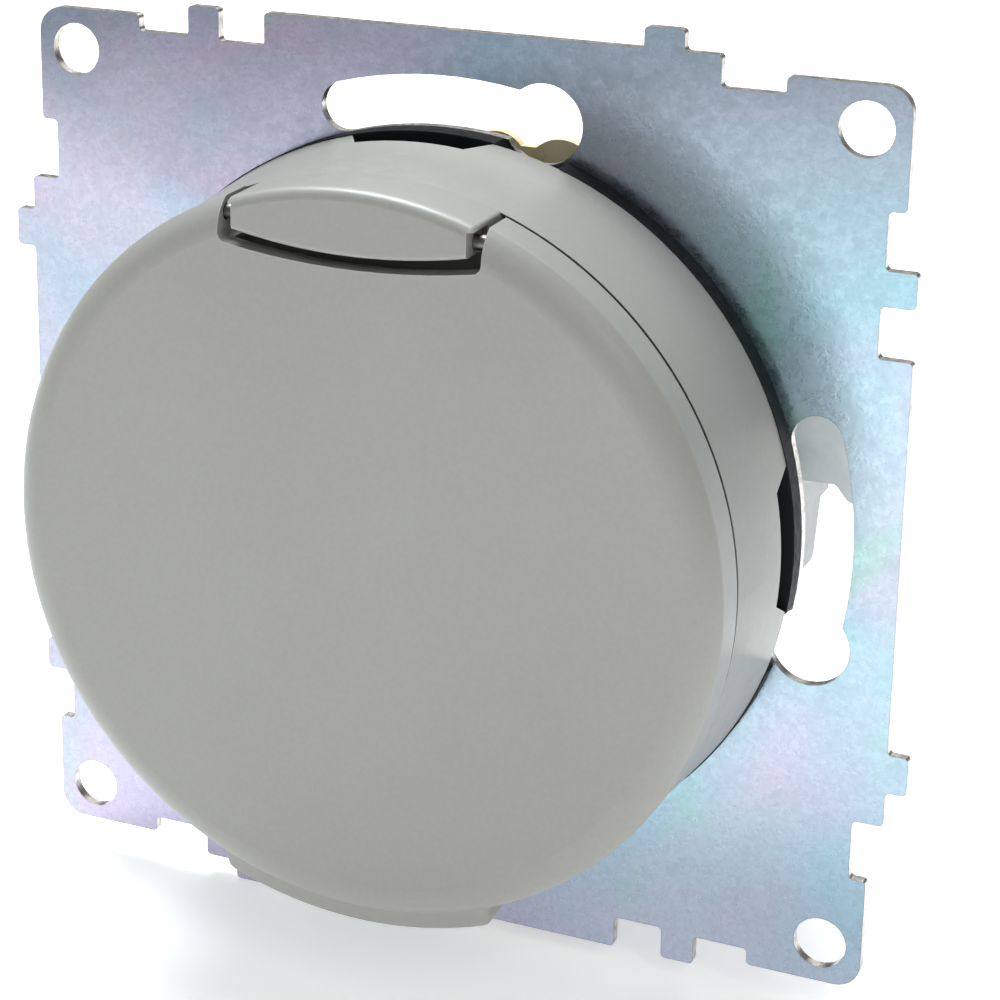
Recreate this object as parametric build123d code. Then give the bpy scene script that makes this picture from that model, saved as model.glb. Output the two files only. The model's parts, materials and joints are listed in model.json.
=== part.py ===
from build123d import *
import math
import os

# Flush-mounted socket outlet with a hinged lid, on a square mounting plate.
# Millimetres. X is right, Z is up, the front faces -Y and the wall plane is Y = 0.
# An angle about the Y axis is clockwise as seen from the front, from the top.

# ---- mounting plate ----
plate_t = 0.8
plate_corner = 34.27  # half-width at the corner runs
plate_edge = 35.3  # half-width at the long straight edges
plate_tab = 36.85  # half-width at the raised tabs
plate_notch = 32.98  # half-width at the bottom of the notches
plate_notch_inner = 32.79  # half-width at the bottom of the inner notches
plate_steps_end = 26.0  # the steps lie within this distance of the side's middle
plate_corner_r = 2.0
plate_fillet_r = 0.35
plate_opening_r = 25.0
corner_hole_at = 31.1
corner_hole_r = 2.0
slot_circle_r = 30.0
slot_w = 3.8
slot_entry_angle = 14.5
slot_end_angle = -15.9
slot_entry_r = 3.0

# ---- front cover: collar, socket well and hinge lug ----
collar_back = -2.6
collar_front = -13.0
collar_back_r = 28.0
collar_front_r = 27.3
collar_wall = 1.8
cover_skin = 1.6
well_r = 20.0
well_wall = 1.5
well_depth = 17.5
floor_t = 1.8
pin_spacing = 19.0
pin_hole_r = 2.75
rim_groove_from = 26.1  # the V groove just inside the rim
rim_groove_to = 26.7
rim_groove_depth = 0.75
rim_land = 0.05
well_chamfer = 0.7
guide_reach = 17.0  # from the middle to a guide rail's inner face
guide_half_w = 2.2
guide_front = -8.0
window_front = -9.6
window_back = 1.6
window_reach = 23.0
recess_depth = 2.4
recess_from = -14.0
recess_to = 9.0
lug_half_w = 9.3
lug_side_z = 23.6
lug_low_z = 22.6
lug_top_fillet = 0.8
lug_pin_recess = 0.45  # set back at the pin, on the lug's sides
lug_pin_recess_half_h = 0.95
lug_edge_fillet = 0.35
window_half_w = 3.9

# ---- lid ----
lid_r = 27.4
lid_front = -18.0
lid_gap = 0.45  # between the lid's rim and the collar
lid_wall = 1.5
lid_skin = 1.6
lid_edge_r = 0.35
lid_rear_chamfer = 0.15
crown_from_r = 25.0  # the front face starts to roll back here
crown_depth = 1.5
crown_lip_slope = 0.35
lip_r = 29.0
lip_half_w = 10.7
cutout_half_w = 9.95
cutout_side_z = 22.65
cutout_low_z = 21.75
hinge_y = -16.4
hinge_z = 24.4
hinge_pin_r = 0.55
hinge_pin_half = 10.6
hinge_clearance = 0.08

# ---- spring ----
spring_wire_r = 0.14
spring_mean_r = 0.88
spring_pitch = 0.25
spring_turns = 14
spring_pocket_half = 4.2

# ---- base housing and terminal block ----
flange_r = 28.1
cup_r = 24.8
cup_inner_r = 23.5
spigot_r = 25.6
spigot_front = -6.4
cup_floor_front = 7.3
cup_floor_back = 8.5
block_w = 35.0
block_h = 39.4
block_back = 26.0
block_corner_r = 2.5
rear_cover_t = 1.5
entry_r = 2.3
entry_collar_r = 3.2
entry_collar_h = 0.6
pin_passage_r = 3.0
strap_slot_front = 6.1
plate_side_recess = -1.05  # the bottom of the claw screws' head recesses

# ---- cover screw ----
cover_screw_r = 1.5
cover_head_r = 3.0
cover_screw_tip = 14.0
cover_screw_hole_r = 1.6
cover_screw_hole_end = 14.5
cross_reach = 2.2
cross_half_w = 0.35
cross_depth = 0.7

# ---- contacts and terminals ----
sleeve_r = 2.45
sleeve_wall = 0.8
sleeve_front = 8.7
sleeve_back = 22.4
sleeve_slit = 1.2
sheet = 0.8
cage_w = 7.0
cage_h = 9.0
cage_front = 14.0
cage_back = 21.0
cage_window_w = 5.0
cage_window_h = 6.6
cage_z = 13.3
live_cage_x = 12.5
earth_cage_x = 6.6
tongue_z = cage_z + 2.6
tongue_w = 4.0
tongue_root = 12.2  # where a live contact's strip leaves its sleeve
cage_room = 0.1
chamber_r = 4.3
earth_pocket_front = 13.0
clamp_screw_r = 1.6
clamp_head_r = 2.6

# ---- claws ----
claw_screw_x = 20.4
claw_screw_z = 13.5
claw_screw_r = 1.5
claw_screw_tip = 24.5
claw_head_r = 2.4
claw_head_front = -2.45
claw_head_back = -1.1
claw_pivot_x = 22.8
claw_pivot_y = 21.0
claw_t = 1.0
claw_front = 9.4
claw_low_z = -8.1
claw_high_z = 9.4
claw_notch_z = 1.35
claw_leaf_back = 19.0
claw_leaf_low_back = 17.7
claw_tip_r = 29.1
barrel_r = 1.1
claw_pin_r = 0.8
knuckle_r = 1.4
knuckle_low_z = -1.5
knuckle_high_z = 6.0
barrel_low_z = -3.4
barrel_gap = 0.15
running = 0.1  # radial clearance of a turning shank

floor_front = collar_front + well_depth
floor_back = floor_front + floor_t
pin_x = pin_spacing / 2
quarter_turns = (0, 90, 180, 270)


# ---- helpers ----
def on_y(y):
    """The plane across Y at y, with X and Z as its own axes, facing the front."""
    return Plane.XZ.offset(-y)


def slab(outline, front, back):
    """An XZ outline as a solid from front to back along Y."""
    return extrude(on_y(back) * outline, amount=back - front)


def disc(radius, front, back, x=0.0, z=0.0):
    return slab(Pos(x, z) * Circle(radius), front, back)


def block(x0, x1, y0, y1, z0, z1):
    middle = Pos((x0 + x1) / 2, (y0 + y1) / 2, (z0 + z1) / 2)
    return middle * Box(x1 - x0, y1 - y0, z1 - z0)


def rod_x(radius, x0, x1, y, z):
    return Pos((x0 + x1) / 2, y, z) * Rot(0, 90, 0) * Cylinder(radius, x1 - x0)


def rod_z(radius, z0, z1, x, y):
    return Pos(x, y, (z0 + z1) / 2) * Cylinder(radius, z1 - z0)


def turned(angle, shape):
    """The shape turned clockwise about the Y axis, as seen from the front."""
    return Rot(0, angle, 0) * shape


def spun(points):
    """A solid of revolution about the Y axis from (radius, y) points."""
    return revolve(make_face(Polyline(*points, close=True)), axis=Axis.Y)


def edges_at(solid, y):
    return solid.edges().filter_by_position(Axis.Y, y - 0.01, y + 0.01)


# ---- mounting plate ----
def plate_side():
    """One side of the outline, left to right along the top, ending at the corner."""
    steps = [
        (-25.5, plate_corner, plate_notch),
        (-21.3, plate_notch, plate_edge),
        (-18.7, plate_edge, plate_notch_inner),
        (-14.9, plate_notch_inner, plate_edge),
        (14.9, plate_edge, plate_tab),
        (17.9, plate_tab, plate_edge),
        (20.64, plate_edge, plate_notch),
        (25.34, plate_notch, plate_corner),
    ]
    points = []
    for x, before, after in steps:
        points += [(x, before), (x, after)]
    points.append((plate_corner, plate_corner))
    return points


def plate_outline():
    points = plate_side()
    outline = []
    for _ in quarter_turns:
        outline += points
        points = [(z, -x) for x, z in points]
    face = make_face(Polyline(*outline, close=True))
    corner_distance = plate_corner * math.sqrt(2) - 0.1
    corners = [v for v in face.vertices() if math.hypot(v.X, v.Y) > corner_distance]
    face = fillet(corners, plate_corner_r)
    sharp = [v for v in face.vertices() if min(abs(v.X), abs(v.Y)) < plate_steps_end]
    return fillet(sharp, plate_fillet_r)


def keyhole_slot():
    sweep = slot_entry_angle - slot_end_angle
    centreline = CenterArc((0, 0), slot_circle_r, 90 - slot_entry_angle, sweep)
    entry_angle = math.radians(slot_entry_angle)
    entry_x = slot_circle_r * math.sin(entry_angle)
    entry_z = slot_circle_r * math.cos(entry_angle)
    return SlotArc(centreline, slot_w) + Pos(entry_x, entry_z) * Circle(slot_entry_r)


def mounting_plate():
    plate = slab(plate_outline(), -plate_t, 0)
    plate -= disc(plate_opening_r, -plate_t, 0)
    slot = slab(keyhole_slot(), -plate_t, 0)
    for angle in quarter_turns:
        plate -= turned(angle, slot)
        plate -= turned(angle, disc(corner_hole_r, -plate_t, 0, corner_hole_at, corner_hole_at))
    for side in (1, -1):
        plate -= disc(claw_screw_r + 4 * running, -plate_t, 0, side * claw_screw_x, side * claw_screw_z)
    return plate


# ---- base housing ----
def contact_chamber(side):
    """The pocket of one pin sleeve and its terminal cage, open at the back."""
    chamber = disc(chamber_r, cup_floor_back, block_back, side * pin_x)
    outer = live_cage_x + cage_w / 2 + cage_room
    inner = live_cage_x - cage_w / 2 - 2 * cage_room
    low, high = sorted((side * inner, side * outer))
    front = tongue_root - 3 * cage_room
    return chamber + block(low, high, front, block_back, -cage_z - cage_h / 2 - 3 * cage_room, -2.0)


def earth_chamber():
    low = earth_cage_x - cage_w / 2 - 2 * cage_room
    high = earth_cage_x + cage_w / 2 + 2 * cage_room
    bottom = cage_z - cage_h / 2 - 2 * cage_room
    pocket = block(low, high, earth_pocket_front, block_back, bottom, cage_z + cage_h / 2 + 3 * cage_room)
    low, high = earth_cage_x - tongue_w / 2 - 0.3, earth_cage_x + tongue_w / 2 + 0.3
    slit = sheet / 2 + 2 * cage_room
    return pocket + block(low, high, cup_floor_front, earth_pocket_front, tongue_z - slit, tongue_z + slit)


def claw_knuckle():
    """The bearing on the block's side for the right claw's pivot."""
    back = claw_pivot_y + knuckle_r
    arm = block(block_w / 2 - 0.5, claw_pivot_x, claw_pivot_y - knuckle_r, back, knuckle_low_z, knuckle_high_z)
    arm += rod_z(knuckle_r, knuckle_low_z, knuckle_high_z, claw_pivot_x, claw_pivot_y)
    bore = claw_pin_r + hinge_clearance
    return arm - rod_z(bore, knuckle_low_z, knuckle_high_z, claw_pivot_x, claw_pivot_y)


def snap_hook(angle):
    """A nose behind the plate's opening, which holds the housing on the plate."""
    nose = block(-2.5, 2.5, 0.0, 1.6, cup_inner_r + 0.5, plate_opening_r + 1.1)
    return turned(angle, nose)


def base_housing():
    body = disc(flange_r, collar_back, -plate_t)
    body += disc(spigot_r, spigot_front, collar_back)
    body += disc(cup_r, -plate_t, cup_floor_back)
    body -= disc(cup_inner_r, spigot_front, cup_floor_front)
    for angle in (30, 150, 210, 330):
        body += snap_hook(angle)
    entry = disc(slot_entry_r + 0.3, collar_back, -plate_t, 0, slot_circle_r)
    for angle in quarter_turns:
        body -= turned(angle + slot_entry_angle, entry)
    for side in (1, -1):
        body -= disc(pin_passage_r, cup_floor_front, cup_floor_back, side * pin_x)
        x, z = side * claw_screw_x, side * claw_screw_z
        body -= disc(claw_head_r + 2 * running, spigot_front, plate_side_recess, x, z)
        body -= disc(claw_screw_r + running, plate_side_recess, cup_floor_back, x, z)
    body -= earth_chamber()
    body -= disc(cover_screw_hole_r, cup_floor_front, cup_floor_back)
    return body - block(-2.6, 10.0, strap_slot_front, cup_floor_front, 20.0, cup_r + 0.5)


def screw_access(x, side):
    """The round hole from the block's edge down to a terminal screw."""
    low, high = sorted((side * cage_z, side * block_h / 2))
    return rod_z(clamp_head_r + 0.4, low, high, x, (cage_front + cage_back) / 2)


def terminal_block():
    body = slab(RectangleRounded(block_w, block_h, block_corner_r), cup_floor_back, block_back)
    for side in (1, -1):
        body -= contact_chamber(side)
        body -= screw_access(side * live_cage_x, -1)
    body -= earth_chamber()
    body -= screw_access(earth_cage_x, 1)
    body -= disc(cover_screw_hole_r, cup_floor_back, cover_screw_hole_end)
    for angle in (0, 180):
        body += turned(angle, claw_knuckle())
    return body


def rear_cover():
    cover = slab(RectangleRounded(block_w, block_h, block_corner_r), block_back, block_back + rear_cover_t)
    outside = block_back + rear_cover_t
    for x, z in wire_entries():
        cover += disc(entry_collar_r, outside, outside + entry_collar_h, x, z)
    for x, z in wire_entries():
        cover -= disc(entry_r, block_back, outside + entry_collar_h, x, z)
    return cover


def wire_entries():
    """X and Z of the line, neutral and earth wire holes, level with the cages' free space."""
    level = cage_z - 0.7
    return [(live_cage_x, -level), (-live_cage_x, -level), (earth_cage_x, level)]


# ---- front cover ----
def lug_outline():
    top_z = math.sqrt(collar_front_r**2 - lug_half_w**2)
    low = ThreePointArc((-lug_half_w, lug_side_z), (0, lug_low_z), (lug_half_w, lug_side_z))
    right = Line((lug_half_w, lug_side_z), (lug_half_w, top_z))
    top = ThreePointArc((lug_half_w, top_z), (0, collar_front_r), (-lug_half_w, top_z))
    left = Line((-lug_half_w, top_z), (-lug_half_w, lug_side_z))
    return make_face([low, right, top, left])


def hinge_lug():
    lug = slab(lug_outline(), lid_front, collar_front + cover_skin / 2)
    edges = edges_at(lug, lid_front)
    top = edges.sort_by(Axis.Z)[-1]
    lug = fillet(top, lug_top_fillet)
    lug = fillet(edges_at(lug, lid_front), lug_edge_fillet)
    pocket = spring_mean_r + spring_wire_r + 0.1
    lug -= rod_x(pocket, -spring_pocket_half, spring_pocket_half, hinge_y, hinge_z)
    lug -= block(
        -spring_pocket_half, spring_pocket_half,
        hinge_y - pocket, collar_front,
        lug_low_z - 1, hinge_z,
    )
    low_z, high_z = hinge_z - lug_pin_recess_half_h, hinge_z + lug_pin_recess_half_h
    for side in (1, -1):
        low, high = sorted((side * (lug_half_w - lug_pin_recess), side * lug_half_w))
        lug -= block(low, high, lid_front, hinge_y + 1.2, low_z, high_z)
    return lug - rod_x(hinge_pin_r, -lug_half_w, lug_half_w, hinge_y, hinge_z)


def collar_recess():
    """The shallow recess in the rear edge, with sloping ends, at the top of the collar."""
    left = collar_back_r * math.sin(math.radians(recess_from))
    right = collar_back_r * math.sin(math.radians(recess_to))
    bottom = collar_back - recess_depth
    slope = 1.3
    outline = Polyline(
        (left, collar_back), (left + slope, bottom), (right - slope, bottom), (right, collar_back), close=True
    )
    return extrude(Plane.XY.offset(spigot_r) * make_face(outline), amount=4)


def front_cover():
    inner_back = collar_back_r - collar_wall
    inner_front = collar_front_r - collar_wall
    under_skin = collar_front + cover_skin
    tube_r = well_r + well_wall
    cover = spun([
        (0, floor_front),
        (well_r, floor_front),
        (well_r, collar_front + well_chamfer),
        (well_r + well_chamfer, collar_front),
        (rim_groove_from, collar_front),
        (rim_groove_to, collar_front + rim_groove_depth),
        (collar_front_r - rim_land, collar_front),
        (collar_front_r, collar_front),
        (collar_back_r, collar_back),
        (inner_back, collar_back),
        (inner_front, under_skin),
        (tube_r, under_skin),
        (tube_r, floor_back),
        (0, floor_back),
    ])
    cover += hinge_lug()
    for side in (1, -1):
        low, high = sorted((side * guide_reach, side * (well_r + well_wall / 2)))
        cover += block(low, high, guide_front, floor_front + floor_t / 2, -guide_half_w, guide_half_w)
        cover -= disc(pin_hole_r, floor_front, floor_back, side * pin_x)
        low, high = sorted((side * guide_reach, side * window_reach))
        cover -= block(-window_half_w, window_half_w, window_front, window_back, low, high)
    cover -= disc(cover_screw_r + 2 * running, floor_front, floor_back)
    cover -= countersink(0.1)
    for angle in quarter_turns:
        cover -= turned(angle, collar_recess())
    return cover


def countersink(room):
    deep = cover_head_r - cover_screw_r
    head = Cone(cover_head_r + room, cover_screw_r + room, deep)
    return Pos(0, floor_front + deep / 2, 0) * Rot(-90, 0, 0) * head


def cover_screw():
    screw = countersink(0.0)
    screw += disc(cover_screw_r, floor_front + 1.4, cover_screw_tip)
    for angle in (0, 90):
        back = floor_front + cross_depth
        slit = block(-cross_reach, cross_reach, floor_front, back, -cross_half_w, cross_half_w)
        screw -= turned(angle, slit)
    return screw


# ---- lid ----
def lid_outline(inset):
    lip = Circle(lip_r - inset) & (Pos(0, -lip_r) * Rectangle(2 * (lip_half_w - inset), 2 * 9.0))
    outline = Circle(lid_r - inset) + lip
    corners = [v for v in outline.vertices() if math.hypot(v.X, v.Y) > lip_r - inset - 0.1]
    outline = fillet(corners, 0.8)
    inner = [v for v in outline.vertices() if math.hypot(v.X, v.Y) < lid_r - inset + 0.1 and v.Y < -10]
    return fillet(inner, 0.6)


def cutout_outline():
    top = lid_r + 2
    low = ThreePointArc((-cutout_half_w, cutout_side_z), (0, cutout_low_z), (cutout_half_w, cutout_side_z))
    right = Line((cutout_half_w, cutout_side_z), (cutout_half_w, top))
    across = Line((cutout_half_w, top), (-cutout_half_w, top))
    left = Line((-cutout_half_w, top), (-cutout_half_w, cutout_side_z))
    face = make_face([low, right, across, left])
    corners = [v for v in face.vertices() if v.Y < top - 1]
    return fillet(corners, 0.7)


def crown_cutter():
    """What the roll-off of the front face takes away near the rim."""
    reach = lid_r - crown_from_r
    curve_r = (reach**2 + crown_depth**2) / (2 * crown_depth)
    half = math.asin(reach / curve_r) / 2
    middle = (crown_from_r + curve_r * math.sin(half), lid_front + curve_r * (1 - math.cos(half)))
    rim = (lid_r, lid_front + crown_depth)
    outside = lip_r + 2
    beyond = (outside, rim[1] + crown_lip_slope * (outside - lid_r))
    ahead = lid_front - 1
    roll = ThreePointArc((crown_from_r, lid_front), middle, rim)
    rest = Polyline(rim, beyond, (outside, ahead), (crown_from_r, ahead), (crown_from_r, lid_front))
    return revolve(make_face([roll, rest]), axis=Axis.Y)


def lid_ear(side, back):
    """The block beside the cut-out that turns on the pin's end."""
    low, high = sorted((side * (cutout_half_w - 0.5), side * 14.5))
    return block(low, high, lid_front + 1.2, back, 22.3, lid_r)


def lid():
    back = collar_front - lid_gap
    shell = slab(lid_outline(0), lid_front, back) - crown_cutter()
    front_rim = [
        e for e in shell.edges()
        if lid_front + 0.5 < (e @ 0.5).Y < back - 1 and abs((e @ 0).Y - (e @ 1).Y) < 1
    ]
    shell = fillet(front_rim, lid_edge_r)
    shell = chamfer(edges_at(shell, back), lid_rear_chamfer)
    shell -= disc(lid_r - lid_wall, lid_front + lid_skin, back)
    rib = disc(23.6, lid_front + 1.5, back - 0.3) - disc(22.6, lid_front + 1.5, back - 0.3)
    shell += rib - block(-12, 12, lid_front, back, 10, 30)
    whole = slab(Circle(lid_r - 0.3), lid_front + 1, back)
    for side in (1, -1):
        shell += lid_ear(side, back) & whole
    shell -= slab(cutout_outline(), lid_front - 1, back)
    bore = hinge_pin_r + hinge_clearance
    return shell - rod_x(bore, -hinge_pin_half - 0.1, hinge_pin_half + 0.1, hinge_y, hinge_z)


def hinge_pin():
    pin = rod_x(hinge_pin_r, -hinge_pin_half, hinge_pin_half, hinge_y, hinge_z)
    return chamfer(pin.edges().filter_by(GeomType.CIRCLE), 0.2)


def lid_spring():
    """The closely wound coil as a ribbed sleeve, with one leg on the collar and one on the lid."""
    start = -spring_turns * spring_pitch / 2
    coil = None
    for turn in range(spring_turns + 1):
        centre = Pos(start + turn * spring_pitch, spring_mean_r)
        wire = centre * Circle(spring_wire_r)
        coil = wire if coil is None else coil + wire
    ring = revolve(coil, axis=Axis.X)
    spring = Pos(0, hinge_y, hinge_z) * ring
    y = hinge_y + spring_mean_r
    spring += Pos(start, y, hinge_z - 1.0) * Cylinder(spring_wire_r, 2.0)
    y = lid_front + lid_skin + spring_wire_r + 0.05
    return spring + Pos(-start, y, hinge_z - 1.9) * Cylinder(spring_wire_r, 2.4)


# ---- contacts and terminals ----
def contact(side):
    sleeve = disc(sleeve_r + sleeve_wall, sleeve_front, sleeve_back) - disc(sleeve_r, sleeve_front, sleeve_back)
    sleeve -= block(-sleeve_slit / 2, sleeve_slit / 2, sleeve_front, sleeve_back, 0, 4)
    sleeve = Pos(side * pin_x, 0, 0) * sleeve
    low, high = sorted((side * (pin_x + 0.6), side * 15.0))
    sleeve += block(low, high, tongue_root, tongue_root + sheet, -tongue_z - sheet / 2, -2.7)
    low, high = sorted((side * 10.6, side * 14.4))
    return sleeve + block(low, high, tongue_root, cage_back + 0.5, -tongue_z - sheet / 2, -tongue_z + sheet / 2)


def terminal_cage(x, side):
    cage = slab(Pos(x, side * cage_z) * Rectangle(cage_w, cage_h), cage_front, cage_back)
    cage -= slab(Pos(x, side * cage_z) * Rectangle(cage_window_w, cage_window_h), cage_front, cage_back)
    low, high = sorted((side * cage_z, side * (cage_z + 6)))
    cage -= rod_z(clamp_screw_r, low, high, x, (cage_front + cage_back) / 2)
    return fillet(cage.edges().filter_by(Axis.Y).filter_by(lambda e: abs(e.center().X - x) > 3), 0.5)


def clamp_screw(x, side):
    """A terminal screw with its head outwards and its tip on the tongue."""
    y = (cage_front + cage_back) / 2
    tip = tongue_z + sheet / 2 + 0.02
    head = cage_z + cage_h / 2 + 0.3
    low, high = sorted((side * tip, side * head))
    screw = rod_z(clamp_screw_r, low, high, x, y)
    low, high = sorted((side * head, side * (head + 1.6)))
    screw += rod_z(clamp_head_r, low, high, x, y)
    low, high = sorted((side * (head + 0.9), side * (head + 1.6)))
    return screw - block(x - 3, x + 3, y - 0.4, y + 0.4, low, high)


def terminal_screws():
    return Compound([clamp_screw(live_cage_x, -1), clamp_screw(-live_cage_x, -1), clamp_screw(earth_cage_x, 1)])


def earth_strap():
    front = floor_back + 0.1
    back = front + sheet
    arm_z = 22.2
    web = slab(Rectangle(9.0, 2 * arm_z + sheet), front, back)
    path = FilletPolyline((back, arm_z), (-9.0, arm_z), (-4.5, 17.4), (0.6, 19.6), radius=1.0)
    clip = extrude(Plane.YZ * trace(path, sheet), amount=3.2, both=True)
    strap = web + clip + turned(180, clip)
    tab = Pos(6.2, 23.25) * Circle(3.0) + Pos(1.0, 23.95) * Circle(2.45)
    tab += Pos(3.6, 23.95) * Rectangle(1.8, 3.0)
    tab += Pos(6.0, 19.45) * Rectangle(6.0, 7.9)
    strap += slab(tab, front, back)
    low, high = earth_cage_x - tongue_w / 2, earth_cage_x + tongue_w / 2
    strap += block(low, high, front, cage_back - 0.5, tongue_z - sheet / 2, tongue_z + sheet / 2)
    return strap - disc(cover_screw_r, front, back)


# ---- claws ----
def claw_flange():
    """The toothed end that bites the wall box, seen from the front."""
    root = claw_pivot_x + barrel_r - claw_t
    leaf = root + claw_t
    top_x = math.sqrt(claw_tip_r**2 - claw_high_z**2)
    middle = (math.sqrt(claw_tip_r**2 - 4.5**2), 4.5)
    tip = (claw_tip_r - 0.02, claw_notch_z - 1.35)
    edge = ThreePointArc(tip, middle, (top_x, claw_high_z))
    rest = Polyline(
        (top_x, claw_high_z), (root, claw_high_z), (root, claw_notch_z - 1.2), (leaf, claw_notch_z - 1.2),
        (leaf, claw_notch_z), (leaf + 3.7, claw_notch_z), (leaf + 4.6, claw_notch_z - 1.1), tip,
    )
    outline = make_face([edge, rest])
    notch = [v for v in outline.vertices() if root + 0.5 < v.X < leaf + 4 and 0.5 < v.Y < 2]
    return fillet(notch, 0.35)


def claw_barrel(low, high):
    """The leaf's rolled rear edge, above or below the knuckle."""
    leaf = claw_pivot_x + barrel_r
    barrel = rod_z(barrel_r, low, high, claw_pivot_x, claw_pivot_y)
    return barrel + block(leaf - claw_t, leaf, claw_front, claw_pivot_y, low, high)


def claw_leaf():
    """The deep side of the claw, which narrows below the hinge."""
    outline = make_face(Polyline(
        (claw_front, claw_high_z), (claw_front, claw_low_z), (claw_leaf_low_back, claw_low_z),
        (claw_leaf_back, barrel_low_z), (claw_leaf_back, claw_high_z), close=True,
    ))
    corner = outline.vertices().sort_by_distance((claw_leaf_low_back, claw_low_z, 0))[0]
    outline = fillet(corner, 1.0)
    return extrude(Plane.YZ.offset(claw_pivot_x + barrel_r - claw_t) * outline, amount=claw_t)


def claw(side):
    leaf = claw_pivot_x + barrel_r
    part = slab(claw_flange(), claw_front, claw_front + claw_t)
    part += claw_leaf()
    part += claw_barrel(barrel_low_z, knuckle_low_z - barrel_gap)
    part += claw_barrel(knuckle_high_z + barrel_gap, claw_high_z)
    part += rod_z(claw_pin_r, barrel_low_z, claw_high_z, claw_pivot_x, claw_pivot_y)
    arm_half_t = 0.7
    arm_low = claw_high_z - 1.4
    arm_high = claw_screw_z + 2.4
    part += block(17.8, leaf, claw_pivot_y - arm_half_t, claw_pivot_y + arm_half_t, arm_low, arm_high)
    slot = Pos(claw_screw_x - 0.1, claw_screw_z) * SlotOverall(4.0, 3.4)
    part -= slab(slot, claw_pivot_y - 2, claw_pivot_y + 2)
    return turned(0 if side > 0 else 180, part)


def claw_screw(side):
    screw = disc(claw_head_r, claw_head_front, claw_head_back)
    screw += disc(claw_screw_r, claw_head_back, claw_screw_tip)
    screw = chamfer(screw.edges().filter_by(GeomType.CIRCLE).sort_by(Axis.Y)[-1], 0.4)
    screw -= block(-3, 3, claw_head_front, claw_head_front + 0.7, -0.4, 0.4)
    return Pos(side * claw_screw_x, 0, side * claw_screw_z) * screw


# ---- every node ----
def make_parts():
    return {
        "mounting_plate": mounting_plate(),
        "base_housing": base_housing(),
        "terminal_block": terminal_block(),
        "rear_cover": rear_cover(),
        "front_cover": front_cover(),
        "lid": lid(),
        "hinge_pin": hinge_pin(),
        "lid_spring": lid_spring(),
        "cover_screw": cover_screw(),
        "earth_strap": earth_strap(),
        "contact_line": contact(1),
        "contact_neutral": contact(-1),
        "terminal_cage_line": terminal_cage(live_cage_x, -1),
        "terminal_cage_neutral": terminal_cage(-live_cage_x, -1),
        "terminal_cage_earth": terminal_cage(earth_cage_x, 1),
        "terminal_screws": terminal_screws(),
        "claw_right": claw(1),
        "claw_left": claw(-1),
        "claw_screw_right": claw_screw(1),
        "claw_screw_left": claw_screw(-1),
    }


os.makedirs("parts", exist_ok=True)
for name, shape in make_parts().items():
    export_step(shape, f"parts/{name}.step")
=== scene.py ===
import json
import math

import bpy
from mathutils import Matrix, Vector

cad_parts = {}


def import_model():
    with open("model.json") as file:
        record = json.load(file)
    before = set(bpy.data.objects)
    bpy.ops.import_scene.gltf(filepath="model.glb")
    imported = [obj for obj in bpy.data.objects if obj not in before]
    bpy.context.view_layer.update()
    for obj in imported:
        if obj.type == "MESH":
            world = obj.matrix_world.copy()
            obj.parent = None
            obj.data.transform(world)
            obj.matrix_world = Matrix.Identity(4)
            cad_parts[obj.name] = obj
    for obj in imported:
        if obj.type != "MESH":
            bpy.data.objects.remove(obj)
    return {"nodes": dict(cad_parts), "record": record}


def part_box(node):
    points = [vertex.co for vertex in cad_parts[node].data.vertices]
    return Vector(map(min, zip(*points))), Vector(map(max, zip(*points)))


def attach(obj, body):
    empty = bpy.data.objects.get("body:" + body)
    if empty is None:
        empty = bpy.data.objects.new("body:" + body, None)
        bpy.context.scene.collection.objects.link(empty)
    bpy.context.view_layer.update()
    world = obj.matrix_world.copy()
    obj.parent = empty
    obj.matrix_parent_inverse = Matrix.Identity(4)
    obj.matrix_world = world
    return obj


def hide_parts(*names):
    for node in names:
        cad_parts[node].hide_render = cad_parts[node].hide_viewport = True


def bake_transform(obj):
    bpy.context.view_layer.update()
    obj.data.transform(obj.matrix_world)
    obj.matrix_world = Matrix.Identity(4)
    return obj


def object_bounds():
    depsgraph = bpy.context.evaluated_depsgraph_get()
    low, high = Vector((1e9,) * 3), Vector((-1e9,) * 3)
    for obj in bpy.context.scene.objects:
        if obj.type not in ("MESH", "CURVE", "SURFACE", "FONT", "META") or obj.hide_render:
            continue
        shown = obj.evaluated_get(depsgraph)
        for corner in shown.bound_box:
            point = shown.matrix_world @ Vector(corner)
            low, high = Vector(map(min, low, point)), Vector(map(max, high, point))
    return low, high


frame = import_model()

cad_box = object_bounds()
MM = 0.001

# ---- camera ----
CAMERA_AT = Vector((80.5, -188.3, 75.7)) * MM
CAMERA_AZIMUTH = 25.21  # degrees, looking in from the right
CAMERA_DROP = 17.59  # degrees below the horizon
CAMERA_ROLL = -0.14
CAMERA_LENS = 103.2
CAMERA_SHIFT = (0.15, -0.15)
CAMERA_CLIP = (0.01, 50)
SENSOR_WIDTH = 36

# ---- stage ----
FLOOR_HALF = 6.0
FLOOR_COLOUR = (0.93, 0.93, 0.93)
FLOOR_GLOW = (0.98, 0.99, 1.0)
FLOOR_GLOW_STRENGTH = 0.47
WORLD_COLOUR = (0.97, 0.985, 1.0)
WORLD_STRENGTH = 0.26
ORIGIN = (0, 0, 0)
WHITE = (1, 1, 1)
LIGHTS = [  # name, place, aim, size, power, colour
    ("key", (0.30, -0.85, 0.40), ORIGIN, (0.5, 0.5), 0.68, WHITE),
    ("table", (-0.16, 0.14, 0.6), ORIGIN, (0.3, 0.3), 6.5, (0.90, 0.96, 1.0)),
    ("edge", (0.54, -0.45, 0.56), ORIGIN, (0.10, 0.30), 0.85, WHITE),
    ("sweep", (-0.3, 1.1, 0.9), (-0.3, 0.9, 0), (1.6, 1.0), 6.0, WHITE),
]

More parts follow.
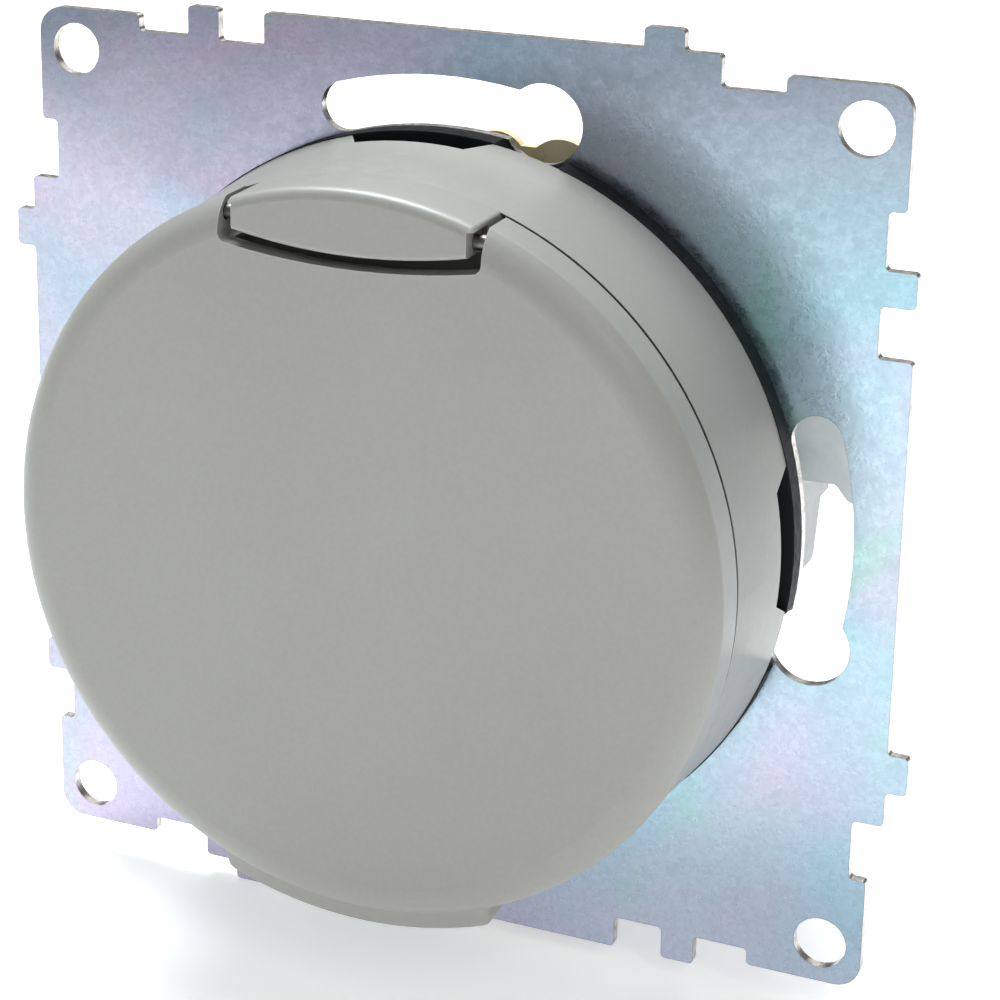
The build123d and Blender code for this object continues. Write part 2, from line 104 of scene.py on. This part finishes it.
# ---- spring ----
SPRING_WIRE_R = 0.14 * MM
SPRING_MEAN_R = 0.88 * MM
SPRING_PITCH = 0.25 * MM
SPRING_TURNS = 14
STEPS_PER_TURN = 24
COLLAR_LEG = Vector((0.05, 0.0, -1.7)) * MM
LID_LEG = Vector((0.05, -0.35, -0.5)) * MM

PLATE_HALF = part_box("mounting_plate")[1].x


def joint_named(name):
    return next(j for j in frame["record"]["behaviour"]["joints"] if j["name"] == name)


# ---- node helpers ----
class Graph:
    """A node material, built by name."""

    def __init__(self, name):
        self.material = bpy.data.materials.new(name)
        self.material.use_nodes = True
        self.tree = self.material.node_tree
        self.shader = self.tree.nodes["Principled BSDF"]
        self.where = self.add("ShaderNodeTexCoord").outputs["Object"]

    def add(self, kind, **settings):
        node = self.tree.nodes.new(kind)
        for key, value in settings.items():
            setattr(node, key, value)
        return node

    def link(self, out, into):
        self.tree.links.new(out, into)

    def noise(self, scale, detail=4.0, rough=0.5, distortion=0.0, stretch=None):
        node = self.add("ShaderNodeTexNoise")
        node.inputs["Scale"].default_value = scale
        node.inputs["Detail"].default_value = detail
        node.inputs["Roughness"].default_value = rough
        node.inputs["Distortion"].default_value = distortion
        where = self.where
        if stretch:
            mapping = self.add("ShaderNodeMapping")
            mapping.inputs["Scale"].default_value = stretch
            self.link(where, mapping.inputs["Vector"])
            where = mapping.outputs["Vector"]
        self.link(where, node.inputs["Vector"])
        return node.outputs["Fac"]

    def ramp(self, value, stops):
        node = self.add("ShaderNodeValToRGB")
        elements = node.color_ramp.elements
        while len(elements) < len(stops):
            elements.new(0.5)
        for element, (place, colour) in zip(elements, stops):
            element.position = place
            element.color = (*colour, 1)
        self.link(value, node.inputs["Fac"])
        return node.outputs["Color"]

    def spread(self, value, low, high, from_low=0.3, from_high=0.7):
        node = self.add("ShaderNodeMapRange")
        node.inputs["From Min"].default_value = from_low
        node.inputs["From Max"].default_value = from_high
        node.inputs["To Min"].default_value = low
        node.inputs["To Max"].default_value = high
        self.link(value, node.inputs["Value"])
        return node.outputs["Result"]

    def math(self, operation, *values):
        node = self.add("ShaderNodeMath", operation=operation)
        for socket, value in zip(node.inputs, values):
            if isinstance(value, (int, float)):
                socket.default_value = value
            else:
                self.link(value, socket)
        return node.outputs["Value"]

    def mix(self, factor, a, b, blend="MIX"):
        node = self.add("ShaderNodeMix", data_type="RGBA", blend_type=blend)
        for name, value in (("Factor", factor), ("A", a), ("B", b)):
            kinds = ("VALUE",) if name == "Factor" else ("RGBA",)
            socket = next(s for s in node.inputs if s.name == name and s.type in kinds)
            if isinstance(value, (int, float)):
                socket.default_value = value
            elif isinstance(value, tuple):
                socket.default_value = (*value, 1)
            else:
                self.link(value, socket)
        return next(s for s in node.outputs if s.type == "RGBA")

    def edges(self, radius):
        """Near one on convex and concave corners, where the rounded normal leaves the face's own."""
        rounded = self.add("ShaderNodeBevel", samples=4)
        rounded.inputs["Radius"].default_value = radius
        geometry = self.add("ShaderNodeNewGeometry")
        agree = self.add("ShaderNodeVectorMath", operation="DOT_PRODUCT")
        self.link(rounded.outputs["Normal"], agree.inputs[0])
        self.link(geometry.outputs["Normal"], agree.inputs[1])
        return self.spread(agree.outputs["Value"], 1.0, 0.0, 0.6, 0.98)

    def side_faces(self):
        """One on faces whose normals have no Y, and zero on those that face the front or back."""
        geometry = self.add("ShaderNodeNewGeometry")
        parts = self.add("ShaderNodeSeparateXYZ")
        self.link(geometry.outputs["True Normal"], parts.inputs["Vector"])
        return self.spread(self.math("ABSOLUTE", parts.outputs["Y"]), 1.0, 0.0, 0.3, 0.9)

    def crevices(self, reach):
        """Near zero in narrow gaps, and one on open faces."""
        shade = self.add("ShaderNodeAmbientOcclusion", samples=8, only_local=False)
        shade.inputs["Distance"].default_value = reach
        return shade.outputs["AO"]

    def bump(self, height, strength, distance):
        node = self.add("ShaderNodeBump")
        node.inputs["Strength"].default_value = strength
        node.inputs["Distance"].default_value = distance
        self.link(height, node.inputs["Height"])
        previous = self.shader.inputs["Normal"].links
        if previous:
            self.link(previous[0].from_socket, node.inputs["Normal"])
        self.link(node.outputs["Normal"], self.shader.inputs["Normal"])

    def set(self, **values):
        for name, value in values.items():
            socket = self.shader.inputs[name.replace("_", " ")]
            if isinstance(value, (int, float)):
                socket.default_value = value
            elif isinstance(value, tuple):
                socket.default_value = (*value, 1)
            else:
                self.link(value, socket)
        return self


# ---- materials ----
def grey_plastic():
    """Warm grey ABS with a fine spark-eroded texture, with a painted highlight lightening its edges
    and painted shade darkening its gaps.
    """
    g = Graph("grey_plastic")
    broad = g.noise(45, 2)
    fine = g.noise(2600, 2, 0.6)
    colour = g.ramp(broad, [(0.3, (0.304, 0.298, 0.272)), (0.7, (0.318, 0.312, 0.287))])
    speckle = g.ramp(fine, [(0.35, (0.975, 0.975, 0.975)), (0.65, (1.015, 1.015, 1.015))])
    body = g.mix(1.0, colour, speckle, "MULTIPLY")
    # painted highlight: the colour is lighter on edges and corners
    edge = g.edges(0.00025)
    wear_and_painted_highlight = g.mix(edge, body, (0.39, 0.39, 0.37))
    # painted shade: the colour darkens in narrow gaps such as the parting line between lid and
    # collar
    painted_crevice_shade = g.ramp(g.crevices(1.2 * MM), [(0.12, (0.06, 0.05, 0.04)), (0.42, WHITE)])
    g.set(Base_Color=g.mix(1.0, wear_and_painted_highlight, painted_crevice_shade, "MULTIPLY"))
    matte = g.spread(g.noise(900, 3), 0.40, 0.47)
    g.set(Roughness=g.math("MULTIPLY_ADD", g.side_faces(), -0.08, matte), IOR=1.5)
    g.bump(g.noise(2400, 3, 0.6), 0.06, 0.00004)
    g.bump(broad, 0.04, 0.0003)
    return g.material


def black_plastic():
    g = Graph("black_plastic")
    grain = g.noise(1500, 3)
    body = g.ramp(g.noise(60, 3), [(0.3, (0.006, 0.0065, 0.008)), (0.7, (0.011, 0.012, 0.014))])
    # painted highlight: the colour is lighter on edges and corners
    g.set(Base_Color=g.mix(g.edges(0.0003), body, (0.03, 0.03, 0.034)))
    g.set(Roughness=g.spread(grain, 0.50, 0.68), Specular_IOR_Level=0.12)
    g.bump(grain, 0.15, 0.00006)
    return g.material


def zinc_plate():
    """Clear-passivated zinc on rolled steel, with soft iridescent patches, a fine grain, and painted
    shade that darkens its left side and its top.
    """
    g = Graph("plate_zinc")
    place = g.add("ShaderNodeSeparateXYZ")
    g.link(g.where, place.inputs["Vector"])
    height = g.math("MULTIPLY_ADD", place.outputs["Z"], 1 / (2 * PLATE_HALF), 0.5)
    across = g.math("MULTIPLY_ADD", place.outputs["X"], 1 / (2 * PLATE_HALF), 0.5)
    drift = g.math("MULTIPLY_ADD", g.noise(30, 2.0, 0.45, 0.4), 0.5, -0.25)
    # painted shade: darker and lilac towards the left, lighter and teal towards the right, on top of
    # the passivation tint
    tint_and_painted_shade_across = g.ramp(g.math("ADD", across, drift), [
        (0.10, (0.54, 0.52, 0.62)),
        (0.42, (0.56, 0.57, 0.70)),
        (0.80, (0.58, 0.69, 0.78)),
    ])
    # painted shade: the passivation tint changes with height, and the top of the plate is painted
    # much darker
    film_and_painted_shade = g.ramp(g.math("ADD", height, drift), [
        (0.10, (0.84, 0.79, 0.84)),
        (0.45, (0.71, 0.73, 0.71)),
        (0.72, (0.81, 0.85, 0.85)),
        (0.95, (0.40, 0.39, 0.40)),
    ])
    face = g.mix(1.0, tint_and_painted_shade_across, film_and_painted_shade, "MULTIPLY")
    teal = g.ramp(g.noise(34, 2.5, 0.5, 0.8), [(0.42, WHITE), (0.60, (0.80, 1.0, 1.0))])
    pink_noise = g.noise(41, 2.5, 0.5, 1.0, (1, 1, 1.3))
    pink = g.ramp(pink_noise, [(0.50, WHITE), (0.66, (1.12, 0.93, 0.98))])
    green_noise = g.noise(52, 2.0, 0.5, 1.4, (1.2, 1, 1))
    green = g.ramp(green_noise, [(0.58, WHITE), (0.68, (0.90, 1.06, 0.92))])
    for patch in (teal, pink, green):
        face = g.mix(1.0, face, patch, "MULTIPLY")
    peel = g.noise(2300, 1.5, 0.5, 0.6)
    speckle = g.ramp(peel, [(0.30, (0.93, 0.93, 0.94)), (0.62, (1.03, 1.03, 1.03))])
    face = g.mix(1.0, face, speckle, "MULTIPLY")
    sheared = g.ramp(g.noise(1400, 4, 0.7), [(0.35, (0.30, 0.27, 0.24)), (0.62, (0.66, 0.62, 0.57))])
    burr = g.mix(g.edges(0.00018), face, (0.22, 0.20, 0.18))
    g.set(Base_Color=g.mix(g.side_faces(), burr, sheared), Metallic=1.0)
    g.set(Roughness=g.spread(g.noise(900, 4, 0.65), 0.22, 0.34))
    g.bump(peel, 0.22, 0.00005)
    g.bump(g.noise(140, 3), 0.08, 0.0002)
    return g.material


def plated_steel(name, tint, rough_low, rough_high, metal, painted_side_shade=1.0):
    g = Graph(name)
    wear_and_painted_highlight = g.noise(350, 4, 0.6)
    dark = tuple(c * 0.86 for c in tint)
    body = g.ramp(wear_and_painted_highlight, [(0.3, dark), (0.65, tint)])
    # painted shade: faces that look sideways take a darker copy of the tint
    body = g.mix(g.side_faces(), body, tuple(c * painted_side_shade for c in tint))
    # painted highlight: the colour is a little lighter on edges and corners
    g.set(Base_Color=g.mix(g.edges(0.0001), body, tuple(c * 1.05 for c in tint)), Metallic=metal)
    g.set(Roughness=g.spread(g.noise(1200, 3), rough_low, rough_high))
    g.bump(g.noise(1800, 2), 0.1, 0.00004)
    return g.material


def brass():
    g = Graph("brass")
    tarnish = g.noise(240, 4, 0.6)
    body = g.ramp(tarnish, [
        (0.30, (0.82, 0.62, 0.30)),
        (0.55, (0.95, 0.76, 0.42)),
        (0.70, (0.97, 0.82, 0.50)),
    ])
    # painted highlight: the colour is lighter on edges and corners
    g.set(Base_Color=g.mix(g.edges(0.0001), body, (0.98, 0.86, 0.58)), Metallic=0.2)
    g.set(Roughness=g.spread(g.noise(900, 3), 0.24, 0.40))
    g.bump(g.noise(1500, 3, 0.6, 0, (1, 8, 1)), 0.1, 0.00004)
    return g.material


MATERIALS = {
    "grey_plastic": grey_plastic(),
    "black_plastic": black_plastic(),
    "plate_zinc": zinc_plate(),
    "claw_steel": plated_steel("claw_steel", (0.95, 0.95, 0.92), 0.38, 0.50, 0.05, 0.38),
    "steel_screw": plated_steel("steel_screw", (0.50, 0.50, 0.50), 0.30, 0.42, 1.0),
    "spring_steel": plated_steel("spring_steel", (0.20, 0.19, 0.18), 0.34, 0.46, 1.0),
    "brass": brass(),
}


def dress_nodes():
    for part in frame["record"]["subparts"]:
        node = frame["nodes"][part["node"]]
        node.data.materials.clear()
        node.data.materials.append(MATERIALS[part["material_slot"]])


# ---- pieces that stand for simpler CAD nodes ----
def piece(name, mesh, slot, body, replaced):
    made = bpy.data.objects.new(name, mesh)
    bpy.context.collection.objects.link(made)
    for face in mesh.polygons:
        face.use_smooth = True
    mesh.materials.append(MATERIALS[slot])
    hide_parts(replaced)
    if body:
        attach(made, body)
    return made


def wound_spring():
    """The torsion spring as a real coil on the pin, with a leg on the collar and one in the lid."""
    axis = Vector(joint_named("lid_hinge")["pos_m"])
    half = SPRING_TURNS * SPRING_PITCH / 2
    path = []
    for step in range(SPRING_TURNS * STEPS_PER_TURN + 1):
        angle = 2 * math.pi * step / STEPS_PER_TURN
        x = -half + SPRING_PITCH * step / STEPS_PER_TURN
        y, z = SPRING_MEAN_R * math.cos(angle), -SPRING_MEAN_R * math.sin(angle)
        path.append(axis + Vector((x, y, z)))
    first, last = path[0], path[-1]
    path.insert(0, first + COLLAR_LEG)
    path.append(last + LID_LEG)
    curve = bpy.data.curves.new("spring_path", "CURVE")
    curve.dimensions = "3D"
    spline = curve.splines.new("POLY")
    spline.points.add(len(path) - 1)
    for point, place in zip(spline.points, path):
        point.co = (*place, 1)
    curve.bevel_depth = SPRING_WIRE_R
    curve.bevel_resolution = 2
    shape = bpy.data.objects.new("spring_path", curve)
    bpy.context.collection.objects.link(shape)
    evaluated = shape.evaluated_get(bpy.context.evaluated_depsgraph_get())
    mesh = bpy.data.meshes.new_from_object(evaluated)
    bpy.data.objects.remove(shape)
    spring = piece("lid_spring_coil", mesh, "spring_steel", None, "lid_spring")
    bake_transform(spring)
    return spring


# ---- stage ----
def floor():
    lowest = cad_box[0].z
    mesh = bpy.data.meshes.new("floor")
    signs = [(-1, -1), (1, -1), (1, 1), (-1, 1)]
    corners = [(x * FLOOR_HALF, y * FLOOR_HALF, lowest) for x, y in signs]
    mesh.from_pydata(corners, [], [(0, 1, 2, 3)])
    plane = bpy.data.objects.new("floor", mesh)
    bpy.context.collection.objects.link(plane)
    g = Graph("floor_paper")
    g.set(Base_Color=FLOOR_COLOUR, Roughness=0.9)
    g.set(Emission_Color=FLOOR_GLOW, Emission_Strength=FLOOR_GLOW_STRENGTH)
    mesh.materials.append(g.material)


def area_light(name, place, aim, size, power, colour):
    light = bpy.data.lights.new(name, "AREA")
    light.shape = "RECTANGLE"
    light.size, light.size_y = size
    light.energy = power
    light.color = colour
    lamp = bpy.data.objects.new(name, light)
    bpy.context.collection.objects.link(lamp)
    lamp.location = place
    lamp.rotation_euler = (Vector(aim) - Vector(place)).to_track_quat("-Z", "Y").to_euler()
    return lamp


def world():
    surroundings = bpy.data.worlds.new("studio")
    surroundings.use_nodes = True
    background = surroundings.node_tree.nodes["Background"]
    background.inputs["Color"].default_value = (*WORLD_COLOUR, 1)
    background.inputs["Strength"].default_value = WORLD_STRENGTH
    bpy.context.scene.world = surroundings


def lights():
    for light in LIGHTS:
        area_light(*light)


def camera():
    data = bpy.data.cameras.new("camera")
    data.sensor_width = SENSOR_WIDTH
    data.lens = CAMERA_LENS
    data.shift_x, data.shift_y = CAMERA_SHIFT
    data.clip_start, data.clip_end = CAMERA_CLIP
    shot = bpy.data.objects.new("camera", data)
    bpy.context.collection.objects.link(shot)
    turn = Matrix.Rotation(math.radians(CAMERA_AZIMUTH), 4, "Z")
    tilt = Matrix.Rotation(math.radians(90 - CAMERA_DROP), 4, "X")
    roll = Matrix.Rotation(math.radians(-CAMERA_ROLL), 4, "Z")
    shot.matrix_world = Matrix.Translation(CAMERA_AT) @ turn @ tilt @ roll
    bpy.context.scene.camera = shot


bpy.context.scene.view_settings.view_transform = "Standard"
dress_nodes()
wound_spring()
floor()
world()
lights()
camera()
